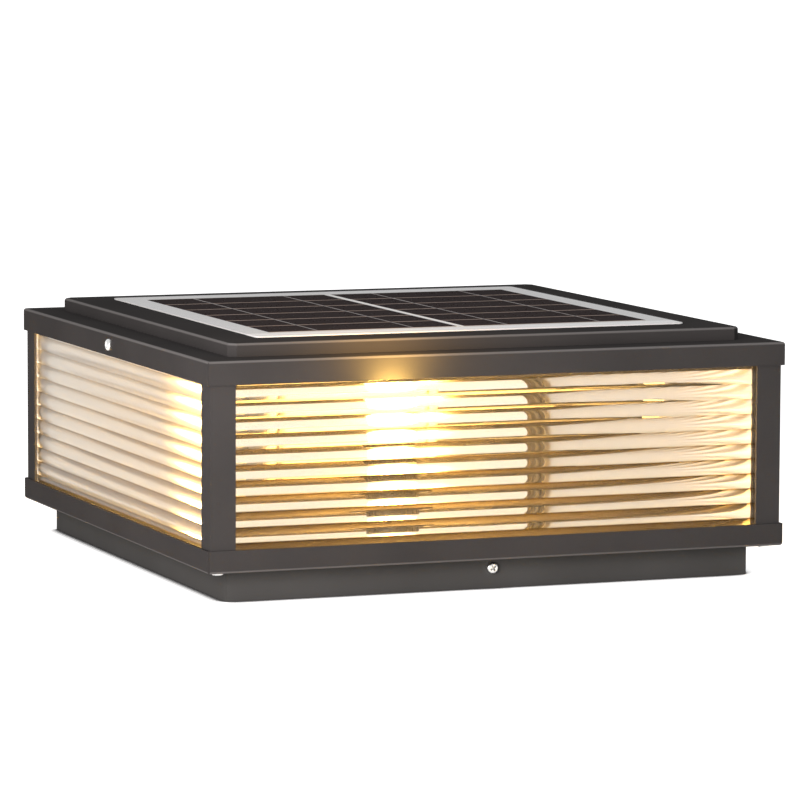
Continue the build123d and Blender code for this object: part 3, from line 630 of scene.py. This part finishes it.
def floor():
    """White floor with a narrow shade where the lamp stands."""
    data = bpy.data.meshes.new("floor")
    corners = [(FLOOR_HALF * x, FLOOR_HALF * y, 0) for x, y in ((-1, -1), (1, -1), (1, 1), (-1, 1))]
    data.from_pydata(corners, [], [(0, 1, 2, 3)])
    obj = link(bpy.data.objects.new("floor", data))
    look = Look("floor")
    near = look.node("ShaderNodeAmbientOcclusion", {"Distance": SHADE_REACH}, samples=16).outputs["AO"]
    open_air = look.span(near, 0.58, 0.78)
    pale = look.blend(open_air, (0.10, 0.10, 0.10), (0.86, 0.86, 0.86))
    shade = look.shader(Base_Color=pale, Roughness=0.9, Specular_IOR_Level=0.0)
    strength = look.maths("MULTIPLY", look.maths("MULTIPLY", look.seen_ray(), open_air), LIFT)
    lift = look.node("ShaderNodeEmission", {"Color": (1, 1, 1, 1), "Strength": strength}).outputs[0]
    obj.data.materials.append(look.done(look.node("ShaderNodeAddShader", {0: shade, 1: lift}).outputs[0]))


def world():
    """White surroundings: dimmer as light on the lamp than as the picture's ground."""
    look = Look("studio", "World")
    light, ground = [look.node("ShaderNodeBackground", {"Color": (1, 1, 1, 1), "Strength": strength}).outputs[0]
                     for strength in (SKY_LIGHT, SKY_SEEN)]
    bpy.context.scene.world = look.done(look.mix(look.seen_ray(), light, ground))


def unseen(obj):
    """Keeps a light out of the picture, also through the glass."""
    obj.visible_camera = False
    obj.visible_transmission = False
    return obj


def area(name, at, look_at, size, power, colour):
    data = bpy.data.lights.new(name, "AREA")
    data.shape = "SQUARE"
    data.size = size
    data.energy = power
    data.color = colour
    obj = unseen(link(bpy.data.objects.new(name, data)))
    obj.location = at
    obj.rotation_euler = (Vector(look_at) - Vector(at)).to_track_quat("-Z", "Y").to_euler()


def lamp_light():
    """Light of the filaments, from the middle of the bulb."""
    low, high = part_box("led_filaments")
    data = bpy.data.lights.new("lamp_light", "POINT")
    data.energy = LAMP_WATTS
    data.color = LAMP_COLOUR
    data.shadow_soft_size = LAMP_RADIUS
    obj = unseen(link(bpy.data.objects.new("lamp_light", data)))
    obj.location = (low + high) / 2


def camera():
    forward = Vector((math.sin(YAW) * math.cos(TILT), math.cos(YAW) * math.cos(TILT), -math.sin(TILT)))
    side = Vector((math.cos(YAW), -math.sin(YAW), 0.0))
    up = side.cross(forward)
    right = side * math.cos(ROLL) + up * math.sin(ROLL)
    top = up * math.cos(ROLL) - side * math.sin(ROLL)
    data = bpy.data.cameras.new("camera")
    data.sensor_width = SENSOR
    data.lens = FOCAL / PHOTO_WIDTH * SENSOR
    data.clip_end = 200.0
    obj = link(bpy.data.objects.new("camera", data))
    turn = Matrix((right, top, -forward)).transposed().to_4x4()
    obj.matrix_world = Matrix.Translation(CAMERA_AT) @ turn
    bpy.context.scene.camera = obj


floor()
world()
area("key", (-0.75, -0.80, 0.22), (-0.05, -0.05, 0.06), 0.45, KEY_WATTS, (1.0, 0.93, 0.91))
area("spill", (SPILL_X, -0.158, 0.099), (SPILL_X, -0.150, 0.106), 0.012, SPILL_WATTS, (1.0, 0.62, 0.14))
area("spill_above", (SPILL_X, -0.166, 0.130), (SPILL_X, -0.134, 0.120), 0.03, SPILL_WATTS, (1.0, 0.55, 0.12))
lamp_light()
camera()
bpy.context.scene.view_settings.view_transform = "Standard"
